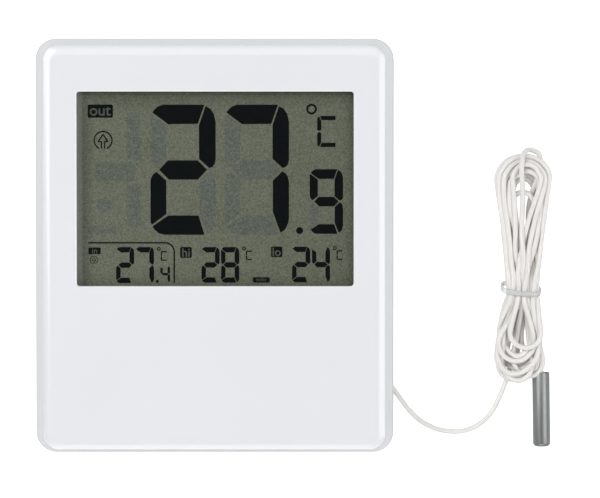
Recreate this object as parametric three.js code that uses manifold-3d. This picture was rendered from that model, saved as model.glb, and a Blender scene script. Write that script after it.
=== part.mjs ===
// Digital maximum-minimum thermometer with a stainless remote probe on a thin lead.
// Millimetres. The unit lies on its back: +Z comes out of the display, +Y is its top edge,
// +X its right edge as it is read. The origin is the middle of its back, on the surface.
import * as THREE from 'three';
import { mergeVertices } from 'three/addons/utils/BufferGeometryUtils.js';
import Module from 'manifold-3d';

const wasm = await Module();
wasm.setup();

// ---- driving dimensions ----
const BODY_W = 103;            // across the rim, the widest line of the case
const BODY_L = 119.2;
const BODY_D = 20;
const PART_Z = 8;              // parting plane between the two shells
const FACE_W = 97.6;           // the front face inside its crease
const FACE_L = 115.6;
const BACK_W = 97;
const BACK_L = 113.2;
const RIM_R = 6;
const FACE_R = 4.4;
const BACK_R = 4.6;
const CREASE_Z = 19.2;         // where the crowned face meets the drafted walls
const CROWN_RUN = 4;           // how far in from the crease the face goes on rising
const WALL = 1.8;
const GAP = 0.3;               // clearance between neighbours
const THIN_GAP = 0.1;          // between stacked flat layers

const WINDOW = { x: 0.3, y: 16.8, w: 79, l: 55.5, chamfer: 0.5 };
const LENS = { margin: 1.8, z: 17.7, t: 1.0 };
const GLASS = { w: 83, l: 59.5, ledge: 2.5, t: 0.7, film: 0.25, front: 16.4 };
const HOLDER = { w: 87, l: 63.5, wall: 1.6, z0: 12.7, z1: 17.3 };
const BOARD = { w: 86, l: 63, z: 11.4, t: 1.2 };
const EAR = { x: 45.7, ys: [0, 33], r: 2.1, post: 1.6, hole: 1.1 };

const SCREW_X = 43;
const SCREW_Y = 52.8;
const POST_R = 3;
const POST_Z = 5.1;            // free end of the front shell's screw posts
const BOSS_R = 3.8;            // the rear shell's bosses that meet those posts
const SCREW_BORE = 1.4;
const SCREW_SINK = 2.5;        // radius of the well a screw head sits in
const CASE_SCREW = { z: 0.5, headR: 2.1, headT: 1.5, shankR: 1.1, length: 10 };
const MODULE_SCREW = { z: 11.1, headR: 1.8, headT: 1.2, shankR: 0.8, length: 5.6 };

const BUTTON_XS = [-27, -9, 9, 27];
const BUTTON_NAMES = ['button_max_min', 'button_reset', 'button_unit', 'button_channel'];
const BUTTON_Y = 31;
const BUTTON_R = 3;
const BUTTON_TRAVEL = 0.9;
const BUTTON_RECESS = { w: 72, l: 12, deep: 0.8 };
const TACT = { w: 6, body: 3.4, tall: 3.9, plunger: 1.6 };

const STAND = { y: 19.4, w: 43.4, l: 44, t: 2.4, z: 1.7, pin: 1.2 };
const BAY = { y: -41, w: 52, l: 12.6, roof: 13.3, wall: 1.2 };
const CELL = { r: 5.25, l: 43.5, z: 7.5 };
const DOOR = { w: 57.4, y1: -30.3, t: 1.5 };
const KEYHOLE = { y: 44.5, head: 4, slot: 2, rise: 7 };
const VENT = { count: 6, x: -33, pitch: 3, w: 1.4, y0: 41.5, y1: 49.5 };
const THROUGH = 3;             // a cut from below the back up to here goes right through its wall

const CORD_D = 1.5;
const CORD_LIE = CORD_D / 2 + 0.03;      // height of the lead's middle where it lies down
const OUTLET = { x: 47.2, y: -37.4, z: 4.2, turn: -40 };

const PROBE = { x0: 94.15, y0: -36.9, x1: 94.45, y1: -58.4, r: 2.5, wall: 0.35 };
const TIE = { x: 88.2, y: -12.7, w: 11.8, h: 6.7, band: 1.7, t: 0.7, turn: -7 };
const HANK = { z: 0.1, t: 6.2, top: 17.4, topR: 7.9, low: -32.4, lowR: 7 };
const STRAY_LOOP = { x: 89.6, y: 24.4, w: 3.6, l: 8, z0: 1.2, z1: 6.2 };

const thermometer = new THREE.Group();

// ---- materials ----
const plastic = (color, roughness) => new THREE.MeshStandardMaterial({ color, roughness, metalness: 0 });
const metal = (color, roughness) => new THREE.MeshStandardMaterial({ color, roughness, metalness: 1 });
const WHITE_ABS = 0xeaecf0;
const SATIN_ABS = 0xe2e4e8;
const LEAD_PVC = 0xe8e7e2;
const GLAND_PVC = 0xdcdad4;
const STRAP_PVC = 0xd5d9da;
const WINDOW_ACRYLIC = 0xf4f7f5;
const POLARISER = 0x8f9488;
const LCD_GLASS = 0xdfe6e0;
const REFLECTOR = 0x646858;
const RUBBER = 0x4a4a4c;
const LAMINATE = 0x2f6b3c;
const EPOXY = 0x1b1b1d;
const SWITCH_NYLON = 0x2a2a2c;
const CAN_SLEEVE = 0x26304a;
const CELL_JACKET = 0x3a4a56;
const RED_PVC = 0xb02a22;
const BLACK_PVC = 0x1c1c1e;
const NICKEL = 0xcfcfca;
const SCREW_ZINC = 0xb9bab8;
const STAINLESS = 0xb8babb;
const RESIN = 0xe9e6da;

// ---- solids and meshes ----
function solid(geometry) {
  const bare = geometry.clone();
  bare.deleteAttribute('normal');
  bare.deleteAttribute('uv');
  const merged = mergeVertices(bare, 1e-4);
  const corner = merged.index.array;
  const triVerts = [];
  for (let i = 0; i < corner.length; i += 3) {
    const [a, b, c] = corner.slice(i, i + 3);
    if (a !== b && b !== c && c !== a) triVerts.push(a, b, c);
  }
  return new wasm.Manifold(new wasm.Mesh({
    numProp: 3,
    vertProperties: new Float32Array(merged.attributes.position.array),
    triVerts: new Uint32Array(triVerts),
  }));
}

function surface(manifold) {
  const { vertProperties, triVerts } = manifold.getMesh();
  const geometry = new THREE.BufferGeometry();
  geometry.setAttribute('position', new THREE.BufferAttribute(vertProperties, 3));
  geometry.setIndex(new THREE.BufferAttribute(triVerts, 1));
  return geometry;
}

function add(name, shape, material, parent = thermometer) {
  const geometry = shape.isBufferGeometry ? shape : surface(shape);
  const mesh = new THREE.Mesh(geometry, material);
  mesh.name = name;
  parent.add(mesh);
  return mesh;
}

function block(x0, x1, y0, y1, z0, z1) {
  const geometry = new THREE.BoxGeometry(x1 - x0, y1 - y0, z1 - z0);
  return solid(geometry.translate((x0 + x1) / 2, (y0 + y1) / 2, (z0 + z1) / 2));
}

// Upright round rod of radius r0 at z0 and r1 at z1.
function rod(x, y, z0, z1, r0, r1 = r0, sides = 20) {
  const geometry = new THREE.CylinderGeometry(r1, r0, z1 - z0, sides);
  return solid(geometry.rotateX(Math.PI / 2).translate(x, y, (z0 + z1) / 2));
}

// Rod along X.
function crossRod(x0, x1, y, z, r, sides = 20) {
  const geometry = new THREE.CylinderGeometry(r, r, x1 - x0, sides);
  return solid(geometry.rotateZ(Math.PI / 2).translate((x0 + x1) / 2, y, z));
}

// A rounded rectangle's points, anticlockwise, with CORNER_STEPS facets to a corner.
const CORNER_STEPS = 5;
function ring(w, l, r, x = 0, y = 0) {
  const points = [];
  const corners = [[1, 1, 0], [-1, 1, 1], [-1, -1, 2], [1, -1, 3]];
  for (const [sx, sy, quarter] of corners) {
    for (let i = 0; i <= CORNER_STEPS; i += 1) {
      const a = (quarter + i / CORNER_STEPS) * Math.PI / 2;
      points.push([x + sx * (w / 2 - r) + r * Math.cos(a), y + sy * (l / 2 - r) + r * Math.sin(a)]);
    }
  }
  return points;
}

// Closed solid through rounded rectangles stacked in z: levels of {z, w, l, r}.
function stack(levels, x = 0, y = 0) {
  const rings = levels.map(({ w, l, r }) => ring(w, l, r, x, y));
  const n = rings[0].length;
  const positions = rings.flatMap((points, i) => points.flatMap(([px, py]) => [px, py, levels[i].z]));
  positions.push(x, y, levels[0].z, x, y, levels[levels.length - 1].z);
  const bottom = n * levels.length;
  const lastRing = n * (levels.length - 1);
  const index = [];
  for (let j = 0; j < n; j += 1) {
    const k = (j + 1) % n;
    for (let i = 0; i < levels.length - 1; i += 1) {
      const a = i * n;
      index.push(a + j, a + k, a + n + k, a + j, a + n + k, a + n + j);
    }
    index.push(bottom, k, j, bottom + 1, lastRing + j, lastRing + k);
  }
  const geometry = new THREE.BufferGeometry();
  geometry.setAttribute('position', new THREE.BufferAttribute(new Float32Array(positions), 3));
  geometry.setIndex(index);
  return solid(geometry);
}

function plate(w, l, r, z0, z1, x = 0, y = 0) {
  return stack([{ z: z0, w, l, r }, { z: z1, w, l, r }], x, y);
}

function lathe(profile, sides = 20) {
  return new THREE.LatheGeometry(profile.map(([r, h]) => new THREE.Vector2(r, h)), sides);
}

function tube(points, diameter, steps) {
  const circle = new THREE.Shape().absarc(0, 0, diameter / 2, 0, 2 * Math.PI);
  const path = new THREE.CatmullRomCurve3(points.map((p) => new THREE.Vector3(...p)));
  const sweep = { steps, curveSegments: 4, extrudePath: path, bevelEnabled: false };
  return new THREE.ExtrudeGeometry(circle, sweep);
}

// ---- the two shells ----
const shrink = ({ z, w, l, r }, by) => ({ z, w: w - 2 * by, l: l - 2 * by, r: Math.max(r - by, 0.6) });

function rearLevels() {
  const rise = (z, grow, r) => ({ z, w: BACK_W + 2 * grow, l: BACK_L + 2 * grow, r });
  return [
    rise(0, 0, BACK_R),
    rise(0.5, 0.75, BACK_R + 0.5),
    rise(1.5, 1.35, BACK_R + 0.9),
    { z: PART_Z - GAP / 2, w: BODY_W, l: BODY_L, r: RIM_R },
  ];
}

function frontLevels() {
  const crown = [0, 0.12, 0.35, 0.65, 1].map((t) => ({
    z: BODY_D - (BODY_D - CREASE_Z) * (1 - t) ** 2.4,
    w: FACE_W - 2 * CROWN_RUN * t,
    l: FACE_L - 2 * CROWN_RUN * t,
    r: FACE_R - (FACE_R - 1) * t,
  }));
  return [{ z: PART_Z + GAP / 2, w: BODY_W, l: BODY_L, r: RIM_R }, ...crown];
}

// Outline of the drafted front wall at a height between the parting plane and the crease.
function frontAt(z) {
  const t = (z - PART_Z) / (CREASE_Z - PART_Z);
  return { z, w: BODY_W + (FACE_W - BODY_W) * t, l: BODY_L + (FACE_L - BODY_L) * t, r: RIM_R };
}

const corners = [[-1, -1], [1, -1], [-1, 1], [1, 1]].map(([sx, sy]) => [sx * SCREW_X, sy * SCREW_Y]);
const ears = EAR.ys.flatMap((y) => [[-EAR.x, y], [EAR.x, y]]);

function frontCase() {
  const ceiling = BODY_D - WALL;
  let shell = stack(frontLevels())
    .subtract(stack([shrink(frontAt(PART_Z - 1), WALL), shrink(frontAt(ceiling), WALL)]));
  for (const [x, y] of corners) shell = shell.add(rod(x, y, POST_Z, ceiling + 0.2, POST_R));
  for (const [x, y] of ears) shell = shell.add(rod(x, y, 14.5, ceiling + 0.2, EAR.post));
  for (const [x, y] of corners) shell = shell.subtract(rod(x, y, POST_Z - 1, 13, SCREW_BORE));
  for (const [x, y] of ears) shell = shell.subtract(rod(x, y, 13, 17.6, EAR.hole));
  const { x, y, w, l, chamfer } = WINDOW;
  const opening = stack([
    { z: ceiling - 1, w, l, r: 0.8 },
    { z: BODY_D - chamfer, w, l, r: 0.8 },
    { z: BODY_D + chamfer, w: w + 4 * chamfer, l: l + 4 * chamfer, r: 1.6 },
  ], x, y);
  const lensPocket = plate(w + 2 * LENS.margin + 0.6, l + 2 * LENS.margin + 0.6, 1.2,
    ceiling - 1, LENS.z + LENS.t + GAP, x, y);
  return shell.subtract(opening).subtract(lensPocket);
}

// A pocket in the back for the folded stand: its tub stands up inside the shell.
const standTub = {
  w: STAND.w + 2 * 0.4,
  y0: STAND.y - STAND.l - 0.9,
  y1: STAND.y + 2.4,
  floor: STAND.z + STAND.t / 2 + GAP,
};

function outletAxis(shape) {
  const turn = THREE.MathUtils.degToRad(OUTLET.turn);
  return shape.rotateZ(-Math.PI / 2).rotateZ(turn).translate(OUTLET.x, OUTLET.y, OUTLET.z);
}

// A rod along the outlet's axis, from a to b ahead of the scoop's inner wall.
function outletRod(a, b, r0, r1) {
  return solid(outletAxis(new THREE.CylinderGeometry(r1, r0, b - a, 20).translate(0, (a + b) / 2, 0)));
}

// The rear shell's floor and walls, with the lip that reaches up inside the front shell.
function rearShellBlank(outer) {
  const inner = rearLevels().map((level) => shrink(level, WALL));
  const hollow = stack([{ ...inner[2], z: WALL }, { ...inner[3], z: PART_Z + 1 }]);
  const ledge = { w: BODY_W - 3, l: BODY_L - 3, r: 4.6 };
  const lip = stack([{ z: 5.5, ...ledge }, { z: PART_Z - GAP / 2, ...ledge }])
    .add(plate(98, 114.4, 3.6, PART_Z - 1, PART_Z + 1.4))
    .subtract(plate(96, 112.4, 2.6, 4, PART_Z + 2));
  return outer.subtract(hollow).add(lip);
}

// What stands on the rear shell's floor: screw bosses, the outlet's scoop, the stand's tub, the battery bay.
function rearBosses(outer) {
  const { w, y0, y1, floor } = standTub;
  const { y: bayY, w: bayW, l: bayL, roof, wall } = BAY;
  const skirt = 1.6;
  let bosses = outletRod(-1.6, 8, 3.9, 3.9).intersect(outer)
    .add(block(-w / 2 - skirt, w / 2 + skirt, y0 - skirt, y1 + skirt, 1, floor + 1.4))
    .add(block(-32, 32, -57, DOOR.y1 + 1.8, 1, 3.2).intersect(outer))
    .add(block(-bayW / 2 - wall, bayW / 2 + wall, bayY - bayL / 2 - wall, bayY + bayL / 2 + wall, 2.5,
      roof + wall));
  for (const [x, y] of corners) bosses = bosses.add(rod(x, y, 1.5, POST_Z - GAP, BOSS_R));
  return bosses;
}

// The stand's pocket with its pin holes and finger notch.
function standPocket() {
  const { w, y0, y1, floor } = standTub;
  const notch = rod(0, y0, -1, floor, 7, 7, 28).intersect(block(-8, 8, y0 - 3.2, y0 + 1, -2, 2.2));
  return block(-w / 2, w / 2, y0, y1, -1, floor)
    .add(crossRod(-w / 2 - 2, w / 2 + 2, STAND.y, STAND.z, STAND.pin + GAP))
    .add(notch);
}

// The battery bay, the recess its door slides in, and the slots its contacts stand in.
function batteryOpening() {
  const { y, w, l, roof } = BAY;
  let opening = block(-DOOR.w / 2 - GAP, DOOR.w / 2 + GAP, -65, DOOR.y1 + GAP, -1, DOOR.t + GAP)
    .add(block(-w / 2, w / 2, y - l / 2, y + l / 2, -1, roof));
  for (const x of [-24.4, 24.4]) {
    opening = opening.add(block(x - 1, x + 1, y - 1.8, y + 1.8, roof - 1, roof + 3));
  }
  return opening;
}

function buttonOpenings() {
  const { w, l, deep } = BUTTON_RECESS;
  let openings = plate(w, l, l / 2, -1, deep, 0, BUTTON_Y);
  for (const x of BUTTON_XS) openings = openings.add(rod(x, BUTTON_Y, -1, THROUGH, BUTTON_R + GAP));
  return openings;
}

function keyhole() {
  const { y, head, slot, rise } = KEYHOLE;
  return rod(0, y, -1, THROUGH, head)
    .add(rod(0, y + rise, -1, THROUGH, slot))
    .add(block(-slot, slot, y, y + rise, -1, THROUGH));
}

function vents() {
  const slots = Array.from({ length: VENT.count }, (_, i) => {
    const x = VENT.x + VENT.pitch * i;
    return block(x, x + VENT.w, VENT.y0, VENT.y1, -1, THROUGH);
  });
  return slots.reduce((all, slot) => all.add(slot));
}

function rearCase() {
  const outer = stack(rearLevels());
  let shell = rearShellBlank(outer).add(rearBosses(outer));
  for (const [x, y] of corners) {
    shell = shell.subtract(rod(x, y, -1, 2.4, SCREW_SINK)).subtract(rod(x, y, 2, 6, SCREW_BORE));
  }
  shell = shell.subtract(outletRod(0, 8, 2.6, 3.2)).subtract(outletRod(-3, 1, 1.6, 1.6));
  for (const cut of [standPocket(), batteryOpening(), buttonOpenings(), keyhole(), vents()]) {
    shell = shell.subtract(cut);
  }
  return shell;
}

// ---- display stack ----
function display() {
  const { x, y, w, l } = WINDOW;
  const look = { color: WINDOW_ACRYLIC, roughness: 0.05, transparent: true, opacity: 0.25 };
  const clear = new THREE.MeshStandardMaterial(look);
  const pane = plate(w + 2 * LENS.margin, l + 2 * LENS.margin, 1, LENS.z, LENS.z + LENS.t, x, y);
  add('window_lens', pane, clear);
  const { ledge, t, film, front } = GLASS;
  const layers = [
    ['lcd_front_polariser', GLASS.l, front + t + THIN_GAP, film, POLARISER],
    ['lcd_front_glass', GLASS.l, front, t, LCD_GLASS],
    ['lcd_rear_glass', GLASS.l - 2 * ledge, front - THIN_GAP - t, t, LCD_GLASS],
    ['lcd_reflector', GLASS.l - 2 * ledge, front - 2 * THIN_GAP - t - film, film, REFLECTOR],
  ];
  for (const [name, length, z, thick, color] of layers) {
    add(name, plate(GLASS.w, length, 0.6, z, z + thick, x, y), plastic(color, 0.2));
  }
  const { wall, z0, z1 } = HOLDER;
  let holder = plate(HOLDER.w, HOLDER.l, 1.5, z0, z1, x, y);
  for (const [ex, ey] of ears) {
    const [inner, outer] = [ex - Math.sign(ex) * 3, ex].sort((a, b) => a - b);
    holder = holder.add(rod(ex, ey, z0, 14.2, EAR.r)).add(block(inner, outer, ey - 1.8, ey + 1.8, z0, 14.2));
  }
  holder = holder.subtract(plate(HOLDER.w - 2 * wall, HOLDER.l - 2 * wall, 0.8, z0 - 1, z1 + 1, x, y));
  for (const [ex, ey] of ears) holder = holder.subtract(rod(ex, ey, z0 - 1, 15, EAR.hole));
  add('lcd_holder', holder, plastic(SATIN_ABS, 0.55));
  const stripY = GLASS.l / 2 - ledge / 2;
  for (const [name, side] of [['contact_strip_top', 1], ['contact_strip_bottom', -1]]) {
    const sy = y + side * stripY;
    const strip = block(x - 39, x + 39, sy - 1, sy + 1, BOARD.z + BOARD.t + THIN_GAP, front - THIN_GAP);
    add(name, strip, plastic(RUBBER, 0.8));
  }
}

// ---- circuit board and what is soldered to it ----
function electronics() {
  const { x, y } = WINDOW;
  const under = BOARD.z - THIN_GAP;
  const board = plate(BOARD.w, BOARD.l, 0.8, BOARD.z, BOARD.z + BOARD.t, x, y);
  add('circuit_board', board, plastic(LAMINATE, 0.5));
  const blob = lathe([[0, 0], [6, 0], [5.6, -0.6], [4, -1.2], [2, -1.5], [0, -1.6]].reverse(), 24);
  const chip = add('chip_blob', blob.rotateX(Math.PI / 2), plastic(EPOXY, 0.4));
  chip.position.set(-6, 8, under);
  const crystal = add('watch_crystal', crossRod(-3, 3, 0, 0, 1, 12), metal(NICKEL, 0.25));
  crystal.position.set(12, 6, under - 1.1);
  const can = add('capacitor', rod(0, 0, -5, 0, 2.5), plastic(CAN_SLEEVE, 0.4));
  can.position.set(30, -4, under);
  const bead = lathe([[0, -1.6], [0.9, -1.4], [1.3, -0.5], [1.2, 0.6], [0.5, 1.3], [0, 1.4]], 12);
  const thermistor = add('indoor_thermistor', bead.rotateX(Math.PI / 2), plastic(EPOXY, 0.35));
  thermistor.position.set(-25, 44, under - 3.6);
  BUTTON_XS.forEach((bx, i) => {
    const side = TACT.w / 2;
    const body = block(-side, side, -side, side, -TACT.body, 0).add(rod(0, 0, -TACT.tall, -3, TACT.plunger));
    const tact = add(`tact_switch_${i + 1}`, body, plastic(SWITCH_NYLON, 0.5));
    tact.position.set(bx, BUTTON_Y, under);
  });
}

function buttons() {
  const stem = BOARD.z - THIN_GAP - TACT.tall - BUTTON_TRAVEL - GAP;
  BUTTON_XS.forEach((x, i) => {
    const profile = [[0, 0.4], [2.4, 0.4], [2.9, 0.7], [BUTTON_R, 1.1], [BUTTON_R, 2.1], [4.2, 2.1],
      [4.2, 3.1], [1.8, 3.1], [1.8, stem], [0, stem]];
    const button = add(BUTTON_NAMES[i], lathe(profile, 24).rotateX(Math.PI / 2), plastic(SATIN_ABS, 0.5));
    button.position.set(x, BUTTON_Y, 0);
  });
}

// ---- power ----
function power() {
  const { y, w } = BAY;
  const { r, l, z } = CELL;
  const profile = [[0, -l / 2], [r - 0.9, -l / 2], [r, -l / 2 + 0.8], [r, l / 2 - 0.8], [r - 0.9, l / 2],
    [1.9, l / 2], [1.8, l / 2 + 1.2], [0, l / 2 + 1.3]];
  const cell = add('battery_aaa', lathe(profile, 24).rotateZ(-Math.PI / 2), metal(CELL_JACKET, 0.4));
  cell.position.set(0.6, y, z);
  const positive = block(w / 2 - 1, w / 2 - 0.5, y - 4.6, y + 4.6, 3.2, 12.6)
    .add(block(w / 2 - 1.9, w / 2 - 1.3, y - 1.3, y + 1.3, 12.2, 15.6))
    .add(block(w / 2 - 1.9, w / 2 - 0.5, y - 1.3, y + 1.3, 12, 12.6));
  add('battery_contact_positive', positive, metal(NICKEL, 0.3));
  const negative = block(-w / 2 + 0.5, -w / 2 + 1, y - 4.6, y + 4.6, 3.2, 12.6)
    .add(block(-w / 2 + 1.3, -w / 2 + 1.9, y - 1.3, y + 1.3, 12.2, 15.6))
    .add(block(-w / 2 + 0.5, -w / 2 + 1.9, y - 1.3, y + 1.3, 12, 12.6));
  add('battery_contact_negative', negative, metal(NICKEL, 0.3));
  const turns = 3;
  const stops = turns * 8;
  const coil = [];
  for (let i = 0; i <= stops; i += 1) {
    const t = i / stops;
    const radius = 3.6 - 1.6 * t;
    const a = turns * 2 * Math.PI * t;
    coil.push([-w / 2 + 1.7 + 1.9 * t, y + radius * Math.cos(a), z + radius * Math.sin(a)]);
  }
  add('battery_spring', tube(coil, 0.5, 60), metal(NICKEL, 0.25));
}

function batteryDoor() {
  const slab = block(-DOOR.w / 2, DOOR.w / 2, -65, DOOR.y1, 0, DOOR.t);
  let door = slab.intersect(stack(rearLevels()));
  for (let i = 0; i < 3; i += 1) {
    const y = DOOR.y1 - 4 - 2 * i;
    door = door.subtract(block(-9 + 2 * i, 9 - 2 * i, y - 0.5, y + 0.5, -1, 0.5));
  }
  return door;
}

// ---- stand ----
function standLeg() {
  const { y, w, l, t, z, pin } = STAND;
  let leg = block(-w / 2, w / 2, y - l, y, z - t / 2, z + t / 2)
    .add(crossRod(-w / 2, w / 2, y, z, t / 2, 24))
    .subtract(block(-w / 2 + 6, w / 2 - 6, y - l + 9, y - 7, z - t / 2 + 1.2, z + t))
    .add(crossRod(-w / 2 - 1.6, w / 2 + 1.6, y, z, pin));
  leg = leg.subtract(block(-5, 5, y - l - 1, y - l + 1.2, z - t, z));
  return leg;
}

// ---- screws ----
function screw(name, x, y, { z, headR, headT, shankR, length }) {
  const profile = [[0, 0], [headR * 0.8, 0], [headR, headT * 0.4], [headR, headT], [shankR, headT],
    [shankR, length - shankR], [0, length]];
  const recess = (a) => solid(new THREE.BoxGeometry(headR * 1.1, 0.5, headT * 0.9).rotateZ(a));
  const body = solid(lathe(profile, 16).rotateX(Math.PI / 2))
    .subtract(recess(0))
    .subtract(recess(Math.PI / 2));
  add(name, body, metal(SCREW_ZINC, 0.35)).position.set(x, y, z);
}

function screws() {
  corners.forEach(([x, y], i) => screw(`case_screw_${i + 1}`, x, y, CASE_SCREW));
  ears.forEach(([x, y], i) => screw(`module_screw_${i + 1}`, x, y, MODULE_SCREW));
}

// ---- leads held inside the case ----
function innerLeads() {
  const { y, w } = BAY;
  const under = BOARD.z - 0.7;
  const leads = [['battery_lead_red', 1, RED_PVC], ['battery_lead_black', -1, BLACK_PVC]];
  for (const [name, side, color] of leads) {
    const x = side * (w / 2 - 1.6);
    const route = [[x - side * 1.1, y, 15], [x - side * 1.6, y + 3, 16.4], [x - side * 2, y + 9, 16.2],
      [x - side * 4, y + 15, 12], [x - side * 6, y + 21, 9.2], [x - side * 6, y + 27, 9],
      [x - side * 6, y + 30, under]];
    add(name, tube(route, 0.9, 24), plastic(color, 0.5));
  }
  const a = THREE.MathUtils.degToRad(OUTLET.turn);
  const inward = (d) => [OUTLET.x - d * Math.cos(a), OUTLET.y - d * Math.sin(a), OUTLET.z];
  const route = [inward(3.2), inward(5), [41.4, -28.6, 5.4], [39, -22, 8], [37, -16, 9.6], [36, -12, under]];
  add('sensor_lead_inside', tube(route, CORD_D, 20), plastic(LEAD_PVC, 0.45));
}

// ---- remote probe, its lead, and the hank ----
const LEAD_ROUTE = [
  [48.9, -38.9, 4.2], [50.2, -40.1, 4.0], [51.7, -41.9, 3.5], [53.6, -44.6, 2.5], [56.0, -47.8, 1.5],
  [58.2, -50.1, 0.95], [60.5, -51.8, CORD_LIE], [64.4, -53.6, CORD_LIE], [69.3, -54.25, CORD_LIE],
  [73.5, -53.6, CORD_LIE], [77.3, -51.5, CORD_LIE], [80.2, -48.3, CORD_LIE], [82.5, -43.8, CORD_LIE],
  [83.6, -41.0, CORD_LIE], [84.1, -39.6, CORD_LIE],
];

// From the hank's end into the probe's open end.
const TAIL_ROUTE = [[93.1, -35.4, 2.4], [93.6, -35.85, 2.45], [93.95, -36.35, 2.5], [94.15, -36.9, 2.5]];

function cordGland() {
  const profile = [[0, -2.8], [2.1, -2.8], [2.1, -1.9], [1.3, -1.9], [1.3, 0.3], [1.9, 0.3], [1.2, 2.1],
    [0, 2.1]];
  add('cord_gland', outletAxis(lathe(profile, 20)), plastic(GLAND_PVC, 0.6));
}

// The hank seen from above: two round ends and a waist where the tie holds it.
function hankOutline() {
  const { top, topR, low, lowR } = HANK;
  const outline = new THREE.Shape();
  outline.moveTo(93.0, -13);
  outline.bezierCurveTo(93.4, -2, 96.9, 8, 96.8, top);
  outline.absarc(96.8 - topR, top, topR, 0, Math.PI);
  outline.bezierCurveTo(81.0, 8, 83.2, -2, 83.3, -13);
  outline.bezierCurveTo(83.0, -20, 80.9, -25, 80.95, low);
  outline.absarc(80.95 + lowR, low, lowR, Math.PI, 2 * Math.PI);
  outline.bezierCurveTo(95.0, -25, 93.2, -20, 93.0, -13);
  return outline;
}

// The room round the hank's waist for the tie: a slab across it less the core the tie holds.
function tieClearance() {
  const { x, y, w, h, t, band, turn } = TIE;
  const slab = new THREE.BoxGeometry(30, band + 2 * GAP, 9).rotateZ(THREE.MathUtils.degToRad(turn));
  const coreW = w - 2 * t - 2 * GAP;
  const coreH = h - 2 * t - 2 * GAP;
  const bevel = 1.4;
  const core = (width, height) => solid(new THREE.BoxGeometry(width, 60, height)
    .translate(x, y, HANK.z + h / 2));
  return solid(slab.translate(x, y, 3))
    .subtract(core(coreW, coreH - 2 * bevel))
    .subtract(core(coreW - 2 * bevel, coreH));
}

// The coiled lead's outer shape, with the one loop that stands out of its top and room for the probe's end.
function cordHank() {
  const rise = { depth: HANK.t, bevelEnabled: false, curveSegments: 10 };
  const sheet = new THREE.ExtrudeGeometry(hankOutline(), rise);
  const { x, y, w, l, z0, z1 } = STRAY_LOOP;
  return solid(sheet.translate(0, 0, HANK.z))
    .add(plate(w, l, w / 2 - 0.1, z0, z1, x, y))
    .subtract(tieClearance())
    .subtract(block(91.3, 100, -60, PROBE.y0 + 2.4, -1, 9));
}

function cordTie() {
  const { w, h, band, t } = TIE;
  const outer = plate(w, h, 2.9, -band / 2, band / 2);
  const inner = plate(w - 2 * t, h - 2 * t, 2.2, -band, band);
  const tie = add('cord_tie', outer.subtract(inner), plastic(STRAP_PVC, 0.15));
  tie.rotation.set(Math.PI / 2, 0, THREE.MathUtils.degToRad(TIE.turn), 'ZXY');
  tie.position.set(TIE.x, TIE.y, HANK.z + h / 2);
}

function probe() {
  const { x0, y0, x1, y1, r, wall } = PROBE;
  const length = Math.hypot(x1 - x0, y1 - y0);
  const group = new THREE.Group();
  group.position.set(x0, y0, r);
  group.rotation.z = Math.atan2(x1 - x0, y0 - y1);
  thermometer.add(group);
  const bore = r - wall;
  const profile = [[0, -length], [r - 1, -length], [r - 0.3, -length + 0.3], [r, -length + 1], [r, -0.15],
    [r - 0.1, 0], [bore + 0.1, 0], [bore, -0.15], [bore, -6], [0, -6]];
  add('probe_tube', lathe(profile, 24), metal(STAINLESS, 0.28), group);
  const plug = [[0, -5.7], [bore - 0.1, -5.7], [bore - 0.1, -0.4], [bore - 0.5, -0.3], [0, -0.3]];
  add('probe_seal', lathe(plug, 20), plastic(RESIN, 0.5), group);
}

function freeCord() {
  add('sensor_cord', tube(LEAD_ROUTE, CORD_D, 34), plastic(LEAD_PVC, 0.45));
  add('cord_hank', cordHank(), plastic(LEAD_PVC, 0.45));
  add('probe_lead', tube(TAIL_ROUTE, CORD_D, 4), plastic(LEAD_PVC, 0.45));
}

add('front_case', frontCase(), plastic(WHITE_ABS, 0.12));
add('rear_case', rearCase(), plastic(SATIN_ABS, 0.45));
display();
electronics();
buttons();
power();
add('battery_door', batteryDoor(), plastic(SATIN_ABS, 0.45));
add('stand_leg', standLeg(), plastic(SATIN_ABS, 0.45));
screws();
innerLeads();
cordGland();
freeCord();
cordTie();
probe();

export default thermometer;
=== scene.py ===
"""Digital maximum-minimum thermometer with a remote probe: its finished surfaces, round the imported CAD.

Lengths in the tables are millimetres in the part's own frame: +Z out of the display, +Y its top edge, +X its
right edge as it is read. mm() turns them to metres, as every mesh is.
"""
import math

import bmesh
import bpy
import numpy as np
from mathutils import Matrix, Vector


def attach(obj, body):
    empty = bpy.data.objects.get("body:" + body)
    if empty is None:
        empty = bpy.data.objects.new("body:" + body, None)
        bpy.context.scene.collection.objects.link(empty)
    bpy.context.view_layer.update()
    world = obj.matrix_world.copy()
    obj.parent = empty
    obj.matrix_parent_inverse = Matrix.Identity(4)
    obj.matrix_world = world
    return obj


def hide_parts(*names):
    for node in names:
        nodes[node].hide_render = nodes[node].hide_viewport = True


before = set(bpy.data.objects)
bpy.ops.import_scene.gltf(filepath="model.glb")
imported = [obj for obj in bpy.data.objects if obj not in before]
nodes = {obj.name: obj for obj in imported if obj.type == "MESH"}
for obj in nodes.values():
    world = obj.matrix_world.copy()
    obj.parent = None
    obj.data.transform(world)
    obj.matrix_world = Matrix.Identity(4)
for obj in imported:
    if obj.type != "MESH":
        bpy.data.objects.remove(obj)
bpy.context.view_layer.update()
scene = bpy.context.scene


def mm(values):
    """Millimetres to metres, as an array."""
    return np.asarray(values, float) * 0.001


# ---- camera ----
SIGHT = (24.51, -0.95, 8.0)      # the point it looks at
SIGHT_DISTANCE = 1438.6
SIGHT_TILT = 3                   # degrees off the display's own axis, towards the top edge
LENS = 300

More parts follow.
